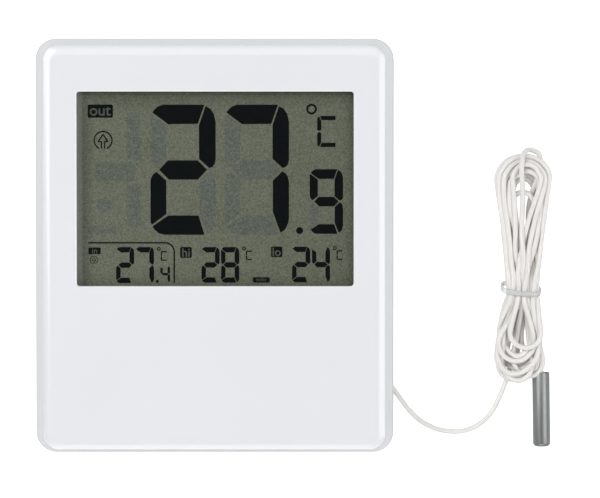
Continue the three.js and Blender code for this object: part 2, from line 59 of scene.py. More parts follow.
tilt = math.radians(SIGHT_TILT)
camera_data = bpy.data.cameras.new("camera")
camera_data.lens = LENS
camera_data.sensor_width = 36
camera_data.clip_start = 0.01
camera = bpy.data.objects.new("camera", camera_data)
camera.location = mm(np.array(SIGHT) + SIGHT_DISTANCE * np.array([0, math.sin(tilt), math.cos(tilt)]))
camera.rotation_euler = (-tilt, 0, 0)
scene.collection.objects.link(camera)
scene.camera = camera


# ---- meshes from arrays ----
def new_piece(name, points, faces, material, smooth=True):
    """A mesh object from an (n, 3) array of metres and a list of faces, at the origin."""
    mesh = bpy.data.meshes.new(name)
    mesh.from_pydata(points.tolist(), [], faces)
    mesh.polygons.foreach_set("use_smooth", np.full(len(mesh.polygons), smooth))
    mesh.materials.append(material)
    mesh.update()
    piece = bpy.data.objects.new(name, mesh)
    scene.collection.objects.link(piece)
    return piece


def grid_faces(rows, cols, close_rows):
    """Quads between neighbouring points of a rows by cols grid. The columns run round a closed section, and
    so do the rows where close_rows says so."""
    i = np.arange(rows if close_rows else rows - 1)[:, None]
    j = np.arange(cols)[None]
    a = i * cols + j
    b = i * cols + (j + 1) % cols
    c = (i + 1) % rows * cols + (j + 1) % cols
    d = (i + 1) % rows * cols + j
    return np.stack([a, b, c, d], axis=-1).reshape(-1, 4).tolist()


def surface(name, grid, material, close_rows=False, caps=True, sharp=35):
    """A skin over a (rows, cols, 3) grid in mm. Open ends of the rows are closed with one face each, unless
    they meet on an axis. Edges that turn more than the sharp angle in degrees stay crisp."""
    rows, cols = grid.shape[:2]
    faces = grid_faces(rows, cols, close_rows)
    if caps and not close_rows:
        ring = np.arange(cols)
        faces.append(ring[::-1].tolist())
        faces.append(((rows - 1) * cols + ring).tolist())
    piece = new_piece(name, mm(grid.reshape(-1, 3)), faces, material)
    face_outwards(piece)
    if sharp:
        piece.data.set_sharp_from_angle(angle=math.radians(sharp))
    return piece


def face_outwards(piece):
    """Turns every face of a closed piece outwards."""
    work = bmesh.new()
    work.from_mesh(piece.data)
    bmesh.ops.recalc_face_normals(work, faces=work.faces)
    work.to_mesh(piece.data)
    work.free()
    piece.data.update()


def rounded(w, l, r, x=0.0, y=0.0, steps=10):
    """A rounded rectangle's points, anticlockwise: a quarter circle of the given steps at each corner."""
    angle = np.linspace(0, math.pi / 2, steps + 1)
    quarter = np.arange(4)[:, None]
    a = (quarter * math.pi / 2 + angle).ravel()
    sx = np.repeat([1, -1, -1, 1], steps + 1)
    sy = np.repeat([1, 1, -1, -1], steps + 1)
    return np.stack([x + sx * (w / 2 - r) + r * np.cos(a), y + sy * (l / 2 - r) + r * np.sin(a)], axis=1)


def loft(levels, steps=10):
    """Rounded rectangles stacked as a grid: each level is (z, width, length, radius, x, y)."""
    rings = []
    for z, w, l, r, x, y in levels:
        ring = rounded(w, l, r, x, y, steps)
        rings.append(np.column_stack([ring, np.full(len(ring), z)]))
    return np.array(rings)


def lathe(profile, sides, axis_point, axis):
    """A profile of (radius, distance along the axis) turned round a level axis, as a grid."""
    axis = np.asarray(axis, float) / np.linalg.norm(axis)
    side = np.cross(axis, (0, 0, 1))
    side /= np.linalg.norm(side)
    up = np.cross(side, axis)
    r, h = np.asarray(profile, float).T
    a = np.linspace(0, 2 * math.pi, sides, endpoint=False)
    round_ = np.cos(a)[None, :, None] * side + np.sin(a)[None, :, None] * up
    return np.asarray(axis_point) + r[:, None, None] * round_ + h[:, None, None] * axis


def sweep(path, radius, sides):
    """A round section carried along a path in mm, as a grid. One side stays level, so it doesn't twist."""
    run = np.gradient(path, axis=0)
    run /= np.linalg.norm(run, axis=1)[:, None]
    level = np.cross(run, (0, 0, 1.0))
    level /= np.linalg.norm(level, axis=1)[:, None]
    up = np.cross(level, run)
    a = np.linspace(0, 2 * math.pi, sides, endpoint=False)
    radius = np.broadcast_to(radius, len(path))[:, None, None]
    ring = np.cos(a)[None, :, None] * level[:, None] + np.sin(a)[None, :, None] * up[:, None]
    return path[:, None] + radius * ring


def prisms(name, outlines, z0, z1, material):
    """Flat shapes given as (n, 2) outlines, each standing from z0 to z1."""
    points, faces, base = [], [], 0
    for outline in outlines:
        outline = np.asarray(outline, float)
        x, y = outline.T
        if (x * np.roll(y, -1) - y * np.roll(x, -1)).sum() < 0:
            outline = outline[::-1]
        n = len(outline)
        points += [np.column_stack([outline, np.full(n, z0)]), np.column_stack([outline, np.full(n, z1)])]
        foot = base + np.arange(n)
        ahead = np.roll(foot, -1)
        faces += [foot[::-1].tolist(), (foot + n).tolist()]
        faces += np.stack([foot, ahead, ahead + n, foot + n], axis=1).tolist()
        base += 2 * n
    return new_piece(name, mm(np.vstack(points)), faces, material, smooth=False)


# ---- materials ----
def linear(hexa):
    """sRGB hex to linear RGBA."""
    c = np.array([int(hexa[k:k + 2], 16) for k in (1, 3, 5)]) / 255
    return (*np.where(c <= 0.04045, c / 12.92, ((c + 0.055) / 1.055) ** 2.4), 1.0)


def add(tree, kind, sockets=None, **settings):
    """Adds a node with its settings. A socket's value is a number, a colour or another node's output."""
    made = tree.nodes.new(kind)
    for key, value in settings.items():
        setattr(made, key, value)
    for key, value in (sockets or {}).items():
        socket = made.inputs[key]
        if isinstance(value, bpy.types.NodeSocket):
            tree.links.new(value, socket)
        else:
            socket.default_value = value
    return made


def new_material(name):
    """An empty material and its node tree."""
    material = bpy.data.materials.new(name)
    material.use_nodes = True
    material.node_tree.nodes.clear()
    return material, material.node_tree


def finish_material(tree, shader):
    """Joins the last shader to the material's output."""
    add(tree, "ShaderNodeOutputMaterial", {"Surface": shader})


def per_mm(size):
    """Noise scale on Object coordinates, in metres, for features of a size in millimetres."""
    return 1000.0 / size


def moulded_plastic(name, colour, shade, roughness, grain, height, coat=0.0):
    """Injection moulded ABS: colour drifts a little over centimetres, and the tool's texture of the given
    grain in millimetres breaks up the gloss."""
    material, tree = new_material(name)
    where = add(tree, "ShaderNodeTexCoord").outputs["Object"]
    drift = add(tree, "ShaderNodeTexNoise", {"Vector": where, "Scale": per_mm(45), "Detail": 2})
    tone = add(tree, "ShaderNodeMix", {"Factor": drift.outputs["Fac"], "A": linear(colour),
                                       "B": linear(shade)},
               data_type="RGBA")
    fine = add(tree, "ShaderNodeTexNoise", {"Vector": where, "Scale": per_mm(grain), "Detail": 3})
    gloss = add(tree, "ShaderNodeMapRange", {"Value": fine.outputs["Fac"], "To Min": roughness * 0.85,
                                            "To Max": roughness * 1.2})
    bump = add(tree, "ShaderNodeBump", {"Height": fine.outputs["Fac"], "Strength": 0.6,
                                        "Distance": height * 0.001})
    shader = add(tree, "ShaderNodeBsdfPrincipled", {
        "Base Color": tone.outputs["Result"], "Roughness": gloss.outputs["Result"], "IOR": 1.53,
        "Coat Weight": coat, "Coat Roughness": 0.03, "Normal": bump.outputs["Normal"]})
    finish_material(tree, shader.outputs["BSDF"])
    return material


def clear_acrylic():
    """Cast acrylic window: shows what is behind it, with a sharp, faint reflection on top."""
    material, tree = new_material("clear_acrylic_cast")
    where = add(tree, "ShaderNodeTexCoord").outputs["Object"]
    ripple = add(tree, "ShaderNodeTexNoise", {"Vector": where, "Scale": per_mm(18), "Detail": 1})
    bump = add(tree, "ShaderNodeBump", {"Height": ripple.outputs["Fac"], "Strength": 0.2,
                                        "Distance": 0.00003})
    clear = add(tree, "ShaderNodeBsdfTransparent", {"Color": (0.97, 0.98, 0.97, 1)})
    gloss = add(tree, "ShaderNodeBsdfGlossy", {"Color": (1, 1, 1, 1), "Roughness": 0.02,
                                               "Normal": bump.outputs["Normal"]})
    facing = add(tree, "ShaderNodeLayerWeight", {"Blend": 0.5})
    fifth = add(tree, "ShaderNodeMath", {0: facing.outputs["Facing"], 1: 5.0}, operation="POWER")
    edge = add(tree, "ShaderNodeMath", {0: fifth.outputs["Value"], 1: 0.96, 2: 0.04},
               operation="MULTIPLY_ADD")
    both = add(tree, "ShaderNodeMixShader", {0: edge.outputs["Value"], 1: clear.outputs["BSDF"],
                                             2: gloss.outputs["BSDF"]})
    finish_material(tree, both.outputs["Shader"])
    return material


# Painted shade on the display's ground, standing in for the shadow of the window's top and left edges, and a
# little on its right side: along an axis, from and to in mm, and how far it goes by then.
PAINTED_SHADE_MARGINS = [("Y", 38.5, 44.4, 0.38), ("X", -34.0, -37.0, 0.34), ("X", 0.0, 35.0, 0.09)]
# Painted light: a lighter strip along the display's left margin, beside the window's edge, in the same
# columns.
PAINTED_LIGHT_MARGIN = ("X", -37.4, -39.3, 0.5)


def display_ground(name, colour, shade):
    """Transflective film under a matt polariser: grey-green, with the fine sparkle of its reflector. Painted
    shade darkens its top and left margins, where the window's edges would shade it, and a little its right
    side; a painted light strip pales its left margin."""
    material, tree = new_material(name)
    where = add(tree, "ShaderNodeTexCoord").outputs["Object"]
    sparkle = add(tree, "ShaderNodeTexNoise", {"Vector": where, "Scale": per_mm(0.42), "Detail": 2,
                                               "Roughness": 0.7})
    cloud = add(tree, "ShaderNodeTexNoise", {"Vector": where, "Scale": per_mm(14), "Detail": 2})
    spread = add(tree, "ShaderNodeMapRange", {"Value": sparkle.outputs["Fac"], "From Min": 0.32,
                                              "From Max": 0.68})
    mostly = add(tree, "ShaderNodeMix", {"Factor": 0.2, "A": spread.outputs["Result"],
                                         "B": cloud.outputs["Fac"]})
    tone = add(tree, "ShaderNodeMix", {"Factor": mostly.outputs["Result"], "A": linear(shade),
                                       "B": linear(colour)},
               data_type="RGBA")
    place = add(tree, "ShaderNodeSeparateXYZ", {"Vector": where})
    # Painted shade: the margins are mixed towards a dark grey-green.
    painted_shade = 0.0
    for axis, begins, ends, most in PAINTED_SHADE_MARGINS:
        ramp = add(tree, "ShaderNodeMapRange", {"Value": place.outputs[axis], "From Min": begins * 0.001,
                                                "From Max": ends * 0.001, "To Min": 0.0, "To Max": most})
        painted_shade = add(tree, "ShaderNodeMath", {0: painted_shade, 1: ramp.outputs["Result"]},
                   operation="MAXIMUM").outputs["Value"]
    painted_shade_tone = add(tree, "ShaderNodeMix", {"Factor": painted_shade, "A": tone.outputs["Result"], "B": linear("#22241f")},
                data_type="RGBA")
    # Painted light: the left margin is mixed towards a pale grey.
    axis, begins, ends, most = PAINTED_LIGHT_MARGIN
    left = add(tree, "ShaderNodeMapRange", {"Value": place.outputs[axis], "From Min": begins * 0.001,
                                            "From Max": ends * 0.001, "To Min": 0.0, "To Max": most})
    painted_light_tone = add(tree, "ShaderNodeMix", {"Factor": left.outputs["Result"], "A": painted_shade_tone.outputs["Result"],
                                           "B": linear("#d3d5cf")}, data_type="RGBA")
    shader = add(tree, "ShaderNodeBsdfPrincipled", {"Base Color": painted_light_tone.outputs["Result"],
                                                    "Roughness": 0.75, "Specular IOR Level": 0.1})
    finish_material(tree, shader.outputs["BSDF"])
    return material


def display_ink():
    """Switched liquid crystal: nearly black with a blue cast, faintly uneven."""
    material, tree = new_material("liquid_crystal_switched")
    where = add(tree, "ShaderNodeTexCoord").outputs["Object"]
    cloud = add(tree, "ShaderNodeTexNoise", {"Vector": where, "Scale": per_mm(3), "Detail": 3})
    tone = add(tree, "ShaderNodeMix", {"Factor": cloud.outputs["Fac"], "A": linear("#04080a"),
                                       "B": linear("#0b1113")}, data_type="RGBA")
    shader = add(tree, "ShaderNodeBsdfPrincipled", {"Base Color": tone.outputs["Result"], "Roughness": 0.6,
                                                    "Specular IOR Level": 0.05})
    finish_material(tree, shader.outputs["BSDF"])
    return material


def metal(name, colour, shade, roughness, along, fine, streak, strength):
    """Bare metal drawn or rolled along an axis: fine streaks that run the length of it and soften its
    reflections. fine is their spacing in millimetres and streak their length."""
    material, tree = new_material(name)
    where = add(tree, "ShaderNodeTexCoord").outputs["Object"]
    stretch = [per_mm(fine)] * 3
    stretch["xyz".index(along)] = per_mm(streak)
    drawn = add(tree, "ShaderNodeMapping", {"Vector": where, "Scale": stretch})
    lines = add(tree, "ShaderNodeTexNoise", {"Vector": drawn.outputs["Vector"], "Scale": 1, "Detail": 3})
    cloud = add(tree, "ShaderNodeTexNoise", {"Vector": where, "Scale": per_mm(2.5), "Detail": 2})
    tone = add(tree, "ShaderNodeMix", {"Factor": lines.outputs["Fac"], "A": linear(colour),
                                       "B": linear(shade)},
               data_type="RGBA")
    gloss = add(tree, "ShaderNodeMapRange", {"Value": cloud.outputs["Fac"], "To Min": roughness * 0.8,
                                            "To Max": roughness * 1.25})
    bump = add(tree, "ShaderNodeBump", {"Height": lines.outputs["Fac"], "Strength": strength,
                                        "Distance": 0.00002})
    shader = add(tree, "ShaderNodeBsdfPrincipled", {
        "Base Color": tone.outputs["Result"], "Metallic": 1.0, "Roughness": gloss.outputs["Result"],
        "Normal": bump.outputs["Normal"]})
    finish_material(tree, shader.outputs["BSDF"])
    return material


def soft_pvc(name, colour, shade, roughness=0.38):
    """Extruded PVC jacket: a waxy half gloss, with faint mottling and drawing marks along it."""
    material, tree = new_material(name)
    where = add(tree, "ShaderNodeTexCoord").outputs["Object"]
    mottle = add(tree, "ShaderNodeTexNoise", {"Vector": where, "Scale": per_mm(6), "Detail": 3})
    skin = add(tree, "ShaderNodeTexNoise", {"Vector": where, "Scale": per_mm(0.5), "Detail": 2})
    tone = add(tree, "ShaderNodeMix", {"Factor": mottle.outputs["Fac"], "A": linear(colour),
                                       "B": linear(shade)},
               data_type="RGBA")
    gloss = add(tree, "ShaderNodeMapRange", {"Value": mottle.outputs["Fac"], "To Min": roughness * 0.85,
                                            "To Max": roughness * 1.2})
    bump = add(tree, "ShaderNodeBump", {"Height": skin.outputs["Fac"], "Strength": 0.08, "Distance": 0.00003})
    shader = add(tree, "ShaderNodeBsdfPrincipled", {
        "Base Color": tone.outputs["Result"], "Roughness": gloss.outputs["Result"], "IOR": 1.53,
        "Normal": bump.outputs["Normal"]})
    finish_material(tree, shader.outputs["BSDF"])
    return material


def clear_pvc():
    """Clear PVC strap: see-through in the middle; where its round sides turn away it is less see-through and
    painted a silvery grey, a painted reflection.
    """
    material, tree = new_material("clear_pvc_extruded")
    where = add(tree, "ShaderNodeTexCoord").outputs["Object"]
    haze = add(tree, "ShaderNodeTexNoise", {"Vector": where, "Scale": per_mm(1.2), "Detail": 2})
    facing = add(tree, "ShaderNodeLayerWeight", {"Blend": 0.4})
    rim = add(tree, "ShaderNodeMapRange", {"Value": facing.outputs["Facing"], "From Min": 0.1,
                                           "From Max": 0.9, "To Min": 0.45, "To Max": 0.95})
    cloudy = add(tree, "ShaderNodeMapRange", {"Value": haze.outputs["Fac"], "To Min": 0.8, "To Max": 1.1})
    body = add(tree, "ShaderNodeMath", {0: rim.outputs["Result"], 1: cloudy.outputs["Result"]},
               operation="MULTIPLY", use_clamp=True)
    # Painted reflection: the colour turns a darker silvery grey as the sides turn away from the eye.
    tone = add(tree, "ShaderNodeMix", {"Factor": facing.outputs["Facing"], "A": linear("#eef0f1"),
                                       "B": linear("#8f9698")}, data_type="RGBA")
    shader = add(tree, "ShaderNodeBsdfPrincipled", {"Base Color": tone.outputs["Result"], "Roughness": 0.1,
                                                    "IOR": 1.5, "Alpha": body.outputs["Value"]})
    finish_material(tree, shader.outputs["BSDF"])
    return material


def plain_dielectric(name, colour, shade, roughness, size, strength=0.3):
    """Cast, dipped or laminated part inside the case: two close colours in patches of a size in
    millimetres, with a slightly uneven skin."""
    material, tree = new_material(name)
    where = add(tree, "ShaderNodeTexCoord").outputs["Object"]
    patch = add(tree, "ShaderNodeTexNoise", {"Vector": where, "Scale": per_mm(size), "Detail": 4})
    tone = add(tree, "ShaderNodeMix", {"Factor": patch.outputs["Fac"], "A": linear(colour),
                                       "B": linear(shade)},
               data_type="RGBA")
    bump = add(tree, "ShaderNodeBump", {"Height": patch.outputs["Fac"], "Strength": strength,
                                        "Distance": 0.00005})
    shader = add(tree, "ShaderNodeBsdfPrincipled", {"Base Color": tone.outputs["Result"],
                                                    "Roughness": roughness, "Normal": bump.outputs["Normal"]})
    finish_material(tree, shader.outputs["BSDF"])
    return material


white_gloss_abs = moulded_plastic("white_abs_gloss_moulded", "#f3f4f7", "#eff0f4", 0.16, 2.2, 0.004, coat=0.4)
white_satin_abs = moulded_plastic("white_abs_satin_moulded", "#e9eaed", "#e2e4e8", 0.42, 0.45, 0.03)
clear_window = clear_acrylic()
# These three display tones carry the painted shade and painted light of the display's margins.
film = display_ground("transflective_film", "#898c7d", "#5b5e51")
unlit = display_ground("liquid_crystal_unswitched", "#7f847b", "#50554e")
legend_ground = display_ground("liquid_crystal_legend", "#6a6f66", "#454a43")
ink = display_ink()
stainless = metal("stainless_steel_drawn", "#a7a9a9", "#888a8b", 0.42, "y", 0.12, 6, 0.3)
nickel = metal("nickel_plated_steel_pressed", "#d6d4ce", "#bdbbb4", 0.28, "x", 0.3, 1.5, 0.2)
lead_pvc = soft_pvc("ivory_pvc_extruded", "#f4f2ef", "#eceae6", 0.3)
red_pvc = soft_pvc("red_pvc_extruded", "#b02a22", "#9a231d")
black_pvc = soft_pvc("black_pvc_extruded", "#1e1e20", "#151517")
strap_pvc = clear_pvc()
resin = plain_dielectric("potting_resin_cast", "#ece5cb", "#e0d7b8", 0.3, 1.0)
black_resin = plain_dielectric("black_epoxy_cast", "#17171a", "#222226", 0.3, 1.5)
board_laminate = plain_dielectric("glass_epoxy_laminate_solder_masked", "#2c6a3b", "#23572f", 0.35, 1.6)
glass = plain_dielectric("soda_lime_glass_float", "#dfe6e0", "#d4ddd6", 0.08, 20, 0.02)
reflector = plain_dielectric("aluminised_film_matt", "#8d9184", "#7c8074", 0.4, 0.4)
rubber = plain_dielectric("carbon_striped_silicone", "#3c3c3f", "#55555a", 0.7, 0.25)
sleeve = plain_dielectric("shrink_sleeve_printed", "#26304a", "#2f3b58", 0.35, 2.0)

# ---- the lead ----
CORD_D = 1.5
LIE = CORD_D / 2 + 0.03          # height of the lead's middle where it lies down
STEP = 1.2                       # between the points of its run

LEAD = [(48.9, -38.9, 4.2), (50.2, -40.1, 4.0), (51.7, -41.9, 3.5), (53.6, -44.6, 2.5), (56.0, -47.8, 1.5),
        (58.2, -50.1, 0.95), (60.5, -51.8, LIE), (64.4, -53.6, LIE), (69.3, -54.25, LIE), (73.5, -53.6, LIE),
        (77.3, -51.5, LIE), (80.2, -48.3, LIE), (82.5, -43.8, LIE), (83.6, -41.0, LIE), (84.1, -39.6, LIE),
        (84.9, -36.6, LIE), (85.4, -31.5, LIE), (85.6, -25.0, 0.9), (85.4, -18.5, 1.2)]
TAIL = [(87.9, -18.0, 2.0), (89.9, -24.0, 1.4), (92.0, -29.5, 1.2), (93.4, -34.0, 1.9), (94.15, -37.9, 2.5)]

# The tie: its ring's middle, half sizes, turn in degrees and lean back to height; the half sizes of the
# strap's own section; and how far along the hank it gathers, and to what half height.
TIE = {"x": 88.25, "y": -12.7, "z": 3.42, "ring_w": 5.5, "ring_h": 2.95, "turn": -7, "lean": -0.42,
       "strap_t": 0.44, "strap_w": 0.85, "reach": 2.4, "half_h": 2.5}

# The hank's outer edges, as rows of y, left x and right x.
SIDES = np.array([(-30, 80.9, 94.6), (-25.2, 81.1, 94.8), (-21, 81.9, 94.4), (-15.3, 83.8, 93.8),
                  (-12.7, 84.1, 93.5), (-4, 83.3, 94.4), (5, 82.4, 95.4), (16, 80.8, 96.8)])

# One row a turn: levels going up, over the top, coming down and round the bottom; x in the tie going up;
# the top fold from x to x and its height; x in the tie coming down and how straight it comes; the bottom
# fold from x to x, its depth and its tilt in degrees. The number of turns is a choice that fills the hank.
TURNS = [
    ((0, 0, 0, 1.6), 85.3, (82.4, 95.0), 24.2, 91.2, 0.0, (93.0, 82.2), -38.0, 0),
    ((1, 1, 1, 1.6), 86.6, (84.9, 93.5), 19.4, 90.8, 0.0, (92.0, 83.6), -34.6, 0),
    ((1, 1, 1, 2), 84.9, (81.6, 95.8), 25.0, 92.5, 0.0, (93.6, 82.8), -36.2, 0),
    ((1, 1, 1, 2), 86.2, (84.0, 94.0), 21.2, 91.3, 0.0, (93.2, 82.0), -38.6, 0),
    ((2, 2, 2, 3), 87.6, (84.8, 93.2), 15.4, 90.6, 0.0, (92.4, 81.8), -39.3, 0),
    ((3, 3, 3, 3.5), 86.8, (83.6, 94.4), 22.6, 90.2, 0.0, (92.8, 82.8), -32.2, 0),
    ((4, 4, 4, 4.5), 85.2, (82.2, 95.8), 25.4, 92.2, 0.0, (92.6, 81.4), -37.2, -6),
    ((5, 5, 5, 6.5), 85.6, (83.4, 94.6), 24.0, 89.2, 0.55, (92.6, 82.0), -33.4, -14),
    ((6, 6, 7, 8), 87.2, (85.6, 94.8), 23.4, 86.3, 1.0, (84.9, 94.4), -29.7, 8),
    ((4, 0.6, 8, 3), 92.4, (92.5, 88.9), 27.7, 88.6, 0.2, (86.2, 93.6), -37.6, 0),
    ((3, 3, 3, 3), 91.4, (94.4, 84.8), 22.0, 87.6, 0.0, None, None, 0),
]


LOWEST_LAYER = 1.2
LAYER_RISE = 0.78
FOLD_TALL = 1.08                 # a fold's height over half its width
FOLD_LEAST = 3.2                 # and the least it is at the top


def layer(level):
    """A level's height before the turns are packed together."""
    return LOWEST_LAYER + LAYER_RISE * level


def fold_height(x0, x1):
    """How tall a fold from x0 to x1 is."""
    return max(abs(x1 - x0) / 2 * FOLD_TALL, FOLD_LEAST)


def fold(x0, x1, reach, side, tilt_degrees, z0, z1):
    """Half an ellipse from x0 to x1 whose outermost point is at y = reach, turned by the tilt."""
    a = np.linspace(0, math.pi, 7)
    tall = fold_height(x0, x1)
    x = -(x1 - x0) / 2 * np.cos(a)
    y = side * tall * np.sin(a)
    t = math.radians(tilt_degrees)
    z = np.linspace(z0, z1, len(a))
    across = (x0 + x1) / 2 + x * math.cos(t) - y * math.sin(t)
    return np.column_stack([across, reach - side * tall + x * math.sin(t) + y * math.cos(t), z])


def leg(x_tie, x_end, y_end, fractions, z0, z1):
    """Points from the tie to where a fold starts: y and z go evenly, x by its own fractions."""
    f, g = np.array(fractions, float).T
    return np.column_stack([x_tie + (x_end - x_tie) * g, TIE["y"] + (y_end - TIE["y"]) * f,
                            z0 + (z1 - z0) * f])


def planned_turns():
    """The turns' points before they are packed: up, round the top, down, and round the bottom."""
    run = []
    for n, (levels, up, (xs, xe), top, down, straight, low, bottom, lean) in enumerate(TURNS):
        z0, z1, z2, z3 = (layer(k) for k in levels)
        over = z2 if levels[2] > levels[1] else z1
        shoulder = top - fold_height(xs, xe)
        run.append(leg(up, xs, shoulder, [(0, 0), (0.3, 0.34), (0.62, 0.74)], z0, z1))
        run.append(fold(xs, xe, top, 1, 0, z1, over))
        back = [(0.62, 0.74 - 0.18 * straight), (0.3, 0.34 - 0.1 * straight), (0, 0)]
        run.append(leg(down, xe, shoulder, back, z2, over))
        if low is None:
            break
        next_z, next_up = layer(TURNS[n + 1][0][0]), TURNS[n + 1][1]
        knee = bottom + abs(low[1] - low[0]) / 2 * FOLD_TALL
        run.append(leg(down, low[0], knee, [(0.55, 0.62)], z2, z3))
        run.append(fold(low[0], low[1], bottom, -1, lean, z3, z3))
        run.append(leg(next_up, low[1], knee, [(0.55, 0.62)], next_z, z3))
    return np.vstack(run)


def smooth_run(points, count):
    """A smooth run through the points: on each span a cubic whose slope at a point is half the step between
    that point's neighbours."""
    p = np.vstack([2 * points[0] - points[1], points, 2 * points[-1] - points[-2]])
    t = np.linspace(0, len(p) - 3 - 1e-9, count)
    i = t.astype(int)
    f = (t - i)[:, None]
    a, b, c, d = p[i], p[i + 1], p[i + 2], p[i + 3]
    return 0.5 * (2 * b + (c - a) * f + (2 * a - 5 * b + 4 * c - d) * f ** 2
                  + (3 * b - a - 3 * c + d) * f ** 3)


def spaced(points, step):
    """The same run with its points the given step apart along it."""
    s = np.concatenate([[0], np.cumsum(np.linalg.norm(np.diff(points, axis=0), axis=1))])
    u = np.linspace(0, s[-1], int(round(s[-1] / step)) + 1)
    return np.stack([np.interp(u, s, points[:, k]) for k in range(3)], axis=1)


def spread_along(push, width=13, soft=4.4):
    """A push on single points shared with their neighbours along the lead by a bell curve."""
    reach = np.arange(-width, width + 1)
    bell = np.exp(-reach ** 2 / (2 * soft ** 2))
    bell /= bell.sum()
    padded = np.pad(push, ((width, width), (0, 0)), mode="edge")
    return np.stack([np.convolve(padded[:, k], bell, "valid") for k in range(3)], axis=1)


ROUNDS = 520                     # of pushing the turns together
SETTLE = 0.75                    # after this share of them nothing sinks or is drawn back any more
SEARCH_EVERY = 10                # rounds between searches for points that are near each other
SEARCH_MARGIN = 1.2              # beyond one diameter
NEIGHBOURS = 6                   # points this close along the lead never count as touching
SINK = 0.012                     # a round
TIGHTEST = 2.9                   # bend radius aimed at, in diameters
CROWDED = 0.4                    # how much a point's many touches weaken each of their pushes

# How strongly a round answers each fault: an overlap, a point outside its sides or the tie, one under the
# surface, and a tight bend.
APART, INWARD, UPWARD, EASED = 1.6, 1.5, 1.2, 0.9


def packed(plan, held):
    """The planned run with its turns pressed together: parts closer than one diameter push each other away,
    all sink a little, the tie gathers what passes through it, the hank stays between its sides, nothing
    goes below the surface, and tight bends are eased. The first held points and the last three stay where
    they are."""
    n = len(plan)
    free = np.ones(n)
    free[:held] = 0
    free[-3:] = 0
    free = np.convolve(np.pad(free, 6, mode="edge"), np.ones(13) / 13, "valid") * free
    ca, sa = math.cos(math.radians(TIE["turn"])), math.sin(math.radians(TIE["turn"]))
    half_h = TIE["half_h"] - CORD_D / 2
    bend = (2 * STEP) ** 2 / (2 * TIGHTEST * CORD_D)
    moved = np.zeros_like(plan)
    for k in range(ROUNDS):
        p = plan + moved
        if k % SEARCH_EVERY == 0:
            square = (p * p).sum(1)
            apart = square[:, None] + square - 2 * p @ p.T
            i, j = np.nonzero(np.triu(apart < (CORD_D + SEARCH_MARGIN) ** 2, NEIGHBOURS))
        gap = p[j] - p[i]
        distance = np.sqrt((gap * gap).sum(1)) + 1e-9
        near = distance < CORD_D
        push = gap / distance[:, None] * ((CORD_D - distance) * near * 0.5)[:, None]
        total = np.stack([np.bincount(j, push[:, c], n) - np.bincount(i, push[:, c], n) for c in range(3)],
                         axis=1)
        touches = np.bincount(i, near, n) + np.bincount(j, near, n)
        total /= np.maximum(1, touches * CROWDED)[:, None]
        step = spread_along(total) * APART
        if k <= ROUNDS * SETTLE:
            step -= spread_along(moved * (SINK, SINK, 0))
            step[:, 2] -= SINK
        y = (p[:, 1] - TIE["y"]) * ca - (p[:, 0] - TIE["x"]) * sa
        inside = np.abs(y) < TIE["reach"]
        left = np.interp(p[:, 1], SIDES[:, 0], SIDES[:, 1]) + CORD_D / 2
        right = np.interp(p[:, 1], SIDES[:, 0], SIDES[:, 2]) - CORD_D / 2
        between = (p[:, 1] > SIDES[0, 0]) & (p[:, 1] < SIDES[-1, 0])
        in_x = (np.clip(p[:, 0], left, right) - p[:, 0]) * between
        in_z = (np.clip(p[:, 2], TIE["z"] - half_h, TIE["z"] + half_h) - p[:, 2]) * inside
        below = np.maximum(LIE - p[:, 2], 0)
        step += spread_along(np.column_stack([in_x, 0 * in_x, in_z])) * INWARD
        step += spread_along(np.column_stack([0 * below, 0 * below, below])) * UPWARD
        sag = np.zeros_like(p)
        sag[2:-2] = (p[:-4] + p[4:]) / 2 - p[2:-2]
        size = np.linalg.norm(sag, axis=1) + 1e-9
        step += spread_along(sag * np.maximum(0, 1 - bend / size)[:, None], 4, 1.5) * EASED
        moved += step * free[:, None]
        moved[:, 2] = np.where(free > 0, np.maximum(moved[:, 2], LIE - plan[:, 2]), 0)
    return plan + moved


HELD_LENGTH = 55                 # of the lead from its outlet, which lies as planned

plan = spaced(smooth_run(np.vstack([LEAD, planned_turns(), TAIL]), 6000), STEP)
run = packed(plan, held=int(HELD_LENGTH / STEP))
run = spaced(smooth_run(run, len(run) * 6), 0.6)
# The jacket's thickness drifts by under one per cent, as an extruded one does.
bead = 1 + 0.008 * np.sin(np.arange(len(run)) * 0.021) * np.sin(np.arange(len(run)) * 0.0047)
sensor_lead = surface("sensor_lead_jacket", sweep(run, CORD_D / 2 * bead, 18), lead_pvc, sharp=60)


def tie_strap():
    """Clear strap round the waist of the hank: an oval path whose section is a flattened circle. The oval
    leans so that its back is nearer the top of the hank."""
    a = np.linspace(0, 2 * math.pi, 96, endpoint=False)
    power = 2 / 3.2              # 2 / 2 would be an ellipse; this one is a little squarer
    wide, high = TIE["ring_w"], TIE["ring_h"]
    x = wide * np.sign(np.cos(a)) * np.abs(np.cos(a)) ** power
    z = high * np.sign(np.sin(a)) * np.abs(np.sin(a)) ** power
    lean = TIE["lean"] * z
    t = math.radians(TIE["turn"])
    path = np.column_stack([TIE["x"] + x * math.cos(t) - lean * math.sin(t),
                            TIE["y"] + x * math.sin(t) + lean * math.cos(t), TIE["z"] + z])
    tangent = np.roll(path, -1, axis=0) - np.roll(path, 1, axis=0)
    tangent /= np.linalg.norm(tangent, axis=1)[:, None]
    outward = path - (TIE["x"], TIE["y"], TIE["z"])
    outward -= (outward * tangent).sum(1)[:, None] * tangent
    outward /= np.linalg.norm(outward, axis=1)[:, None]
    across = np.cross(tangent, outward)
    b = np.linspace(0, 2 * math.pi, 20, endpoint=False)
    thick = TIE["strap_t"] * np.cos(b)[None, :, None] * outward[:, None]
    wide_way = TIE["strap_w"] * np.sin(b)[None, :, None] * across[:, None]
    return path[:, None] + (thick + wide_way)


strap = surface("hank_strap", tie_strap(), strap_pvc, close_rows=True, sharp=0)

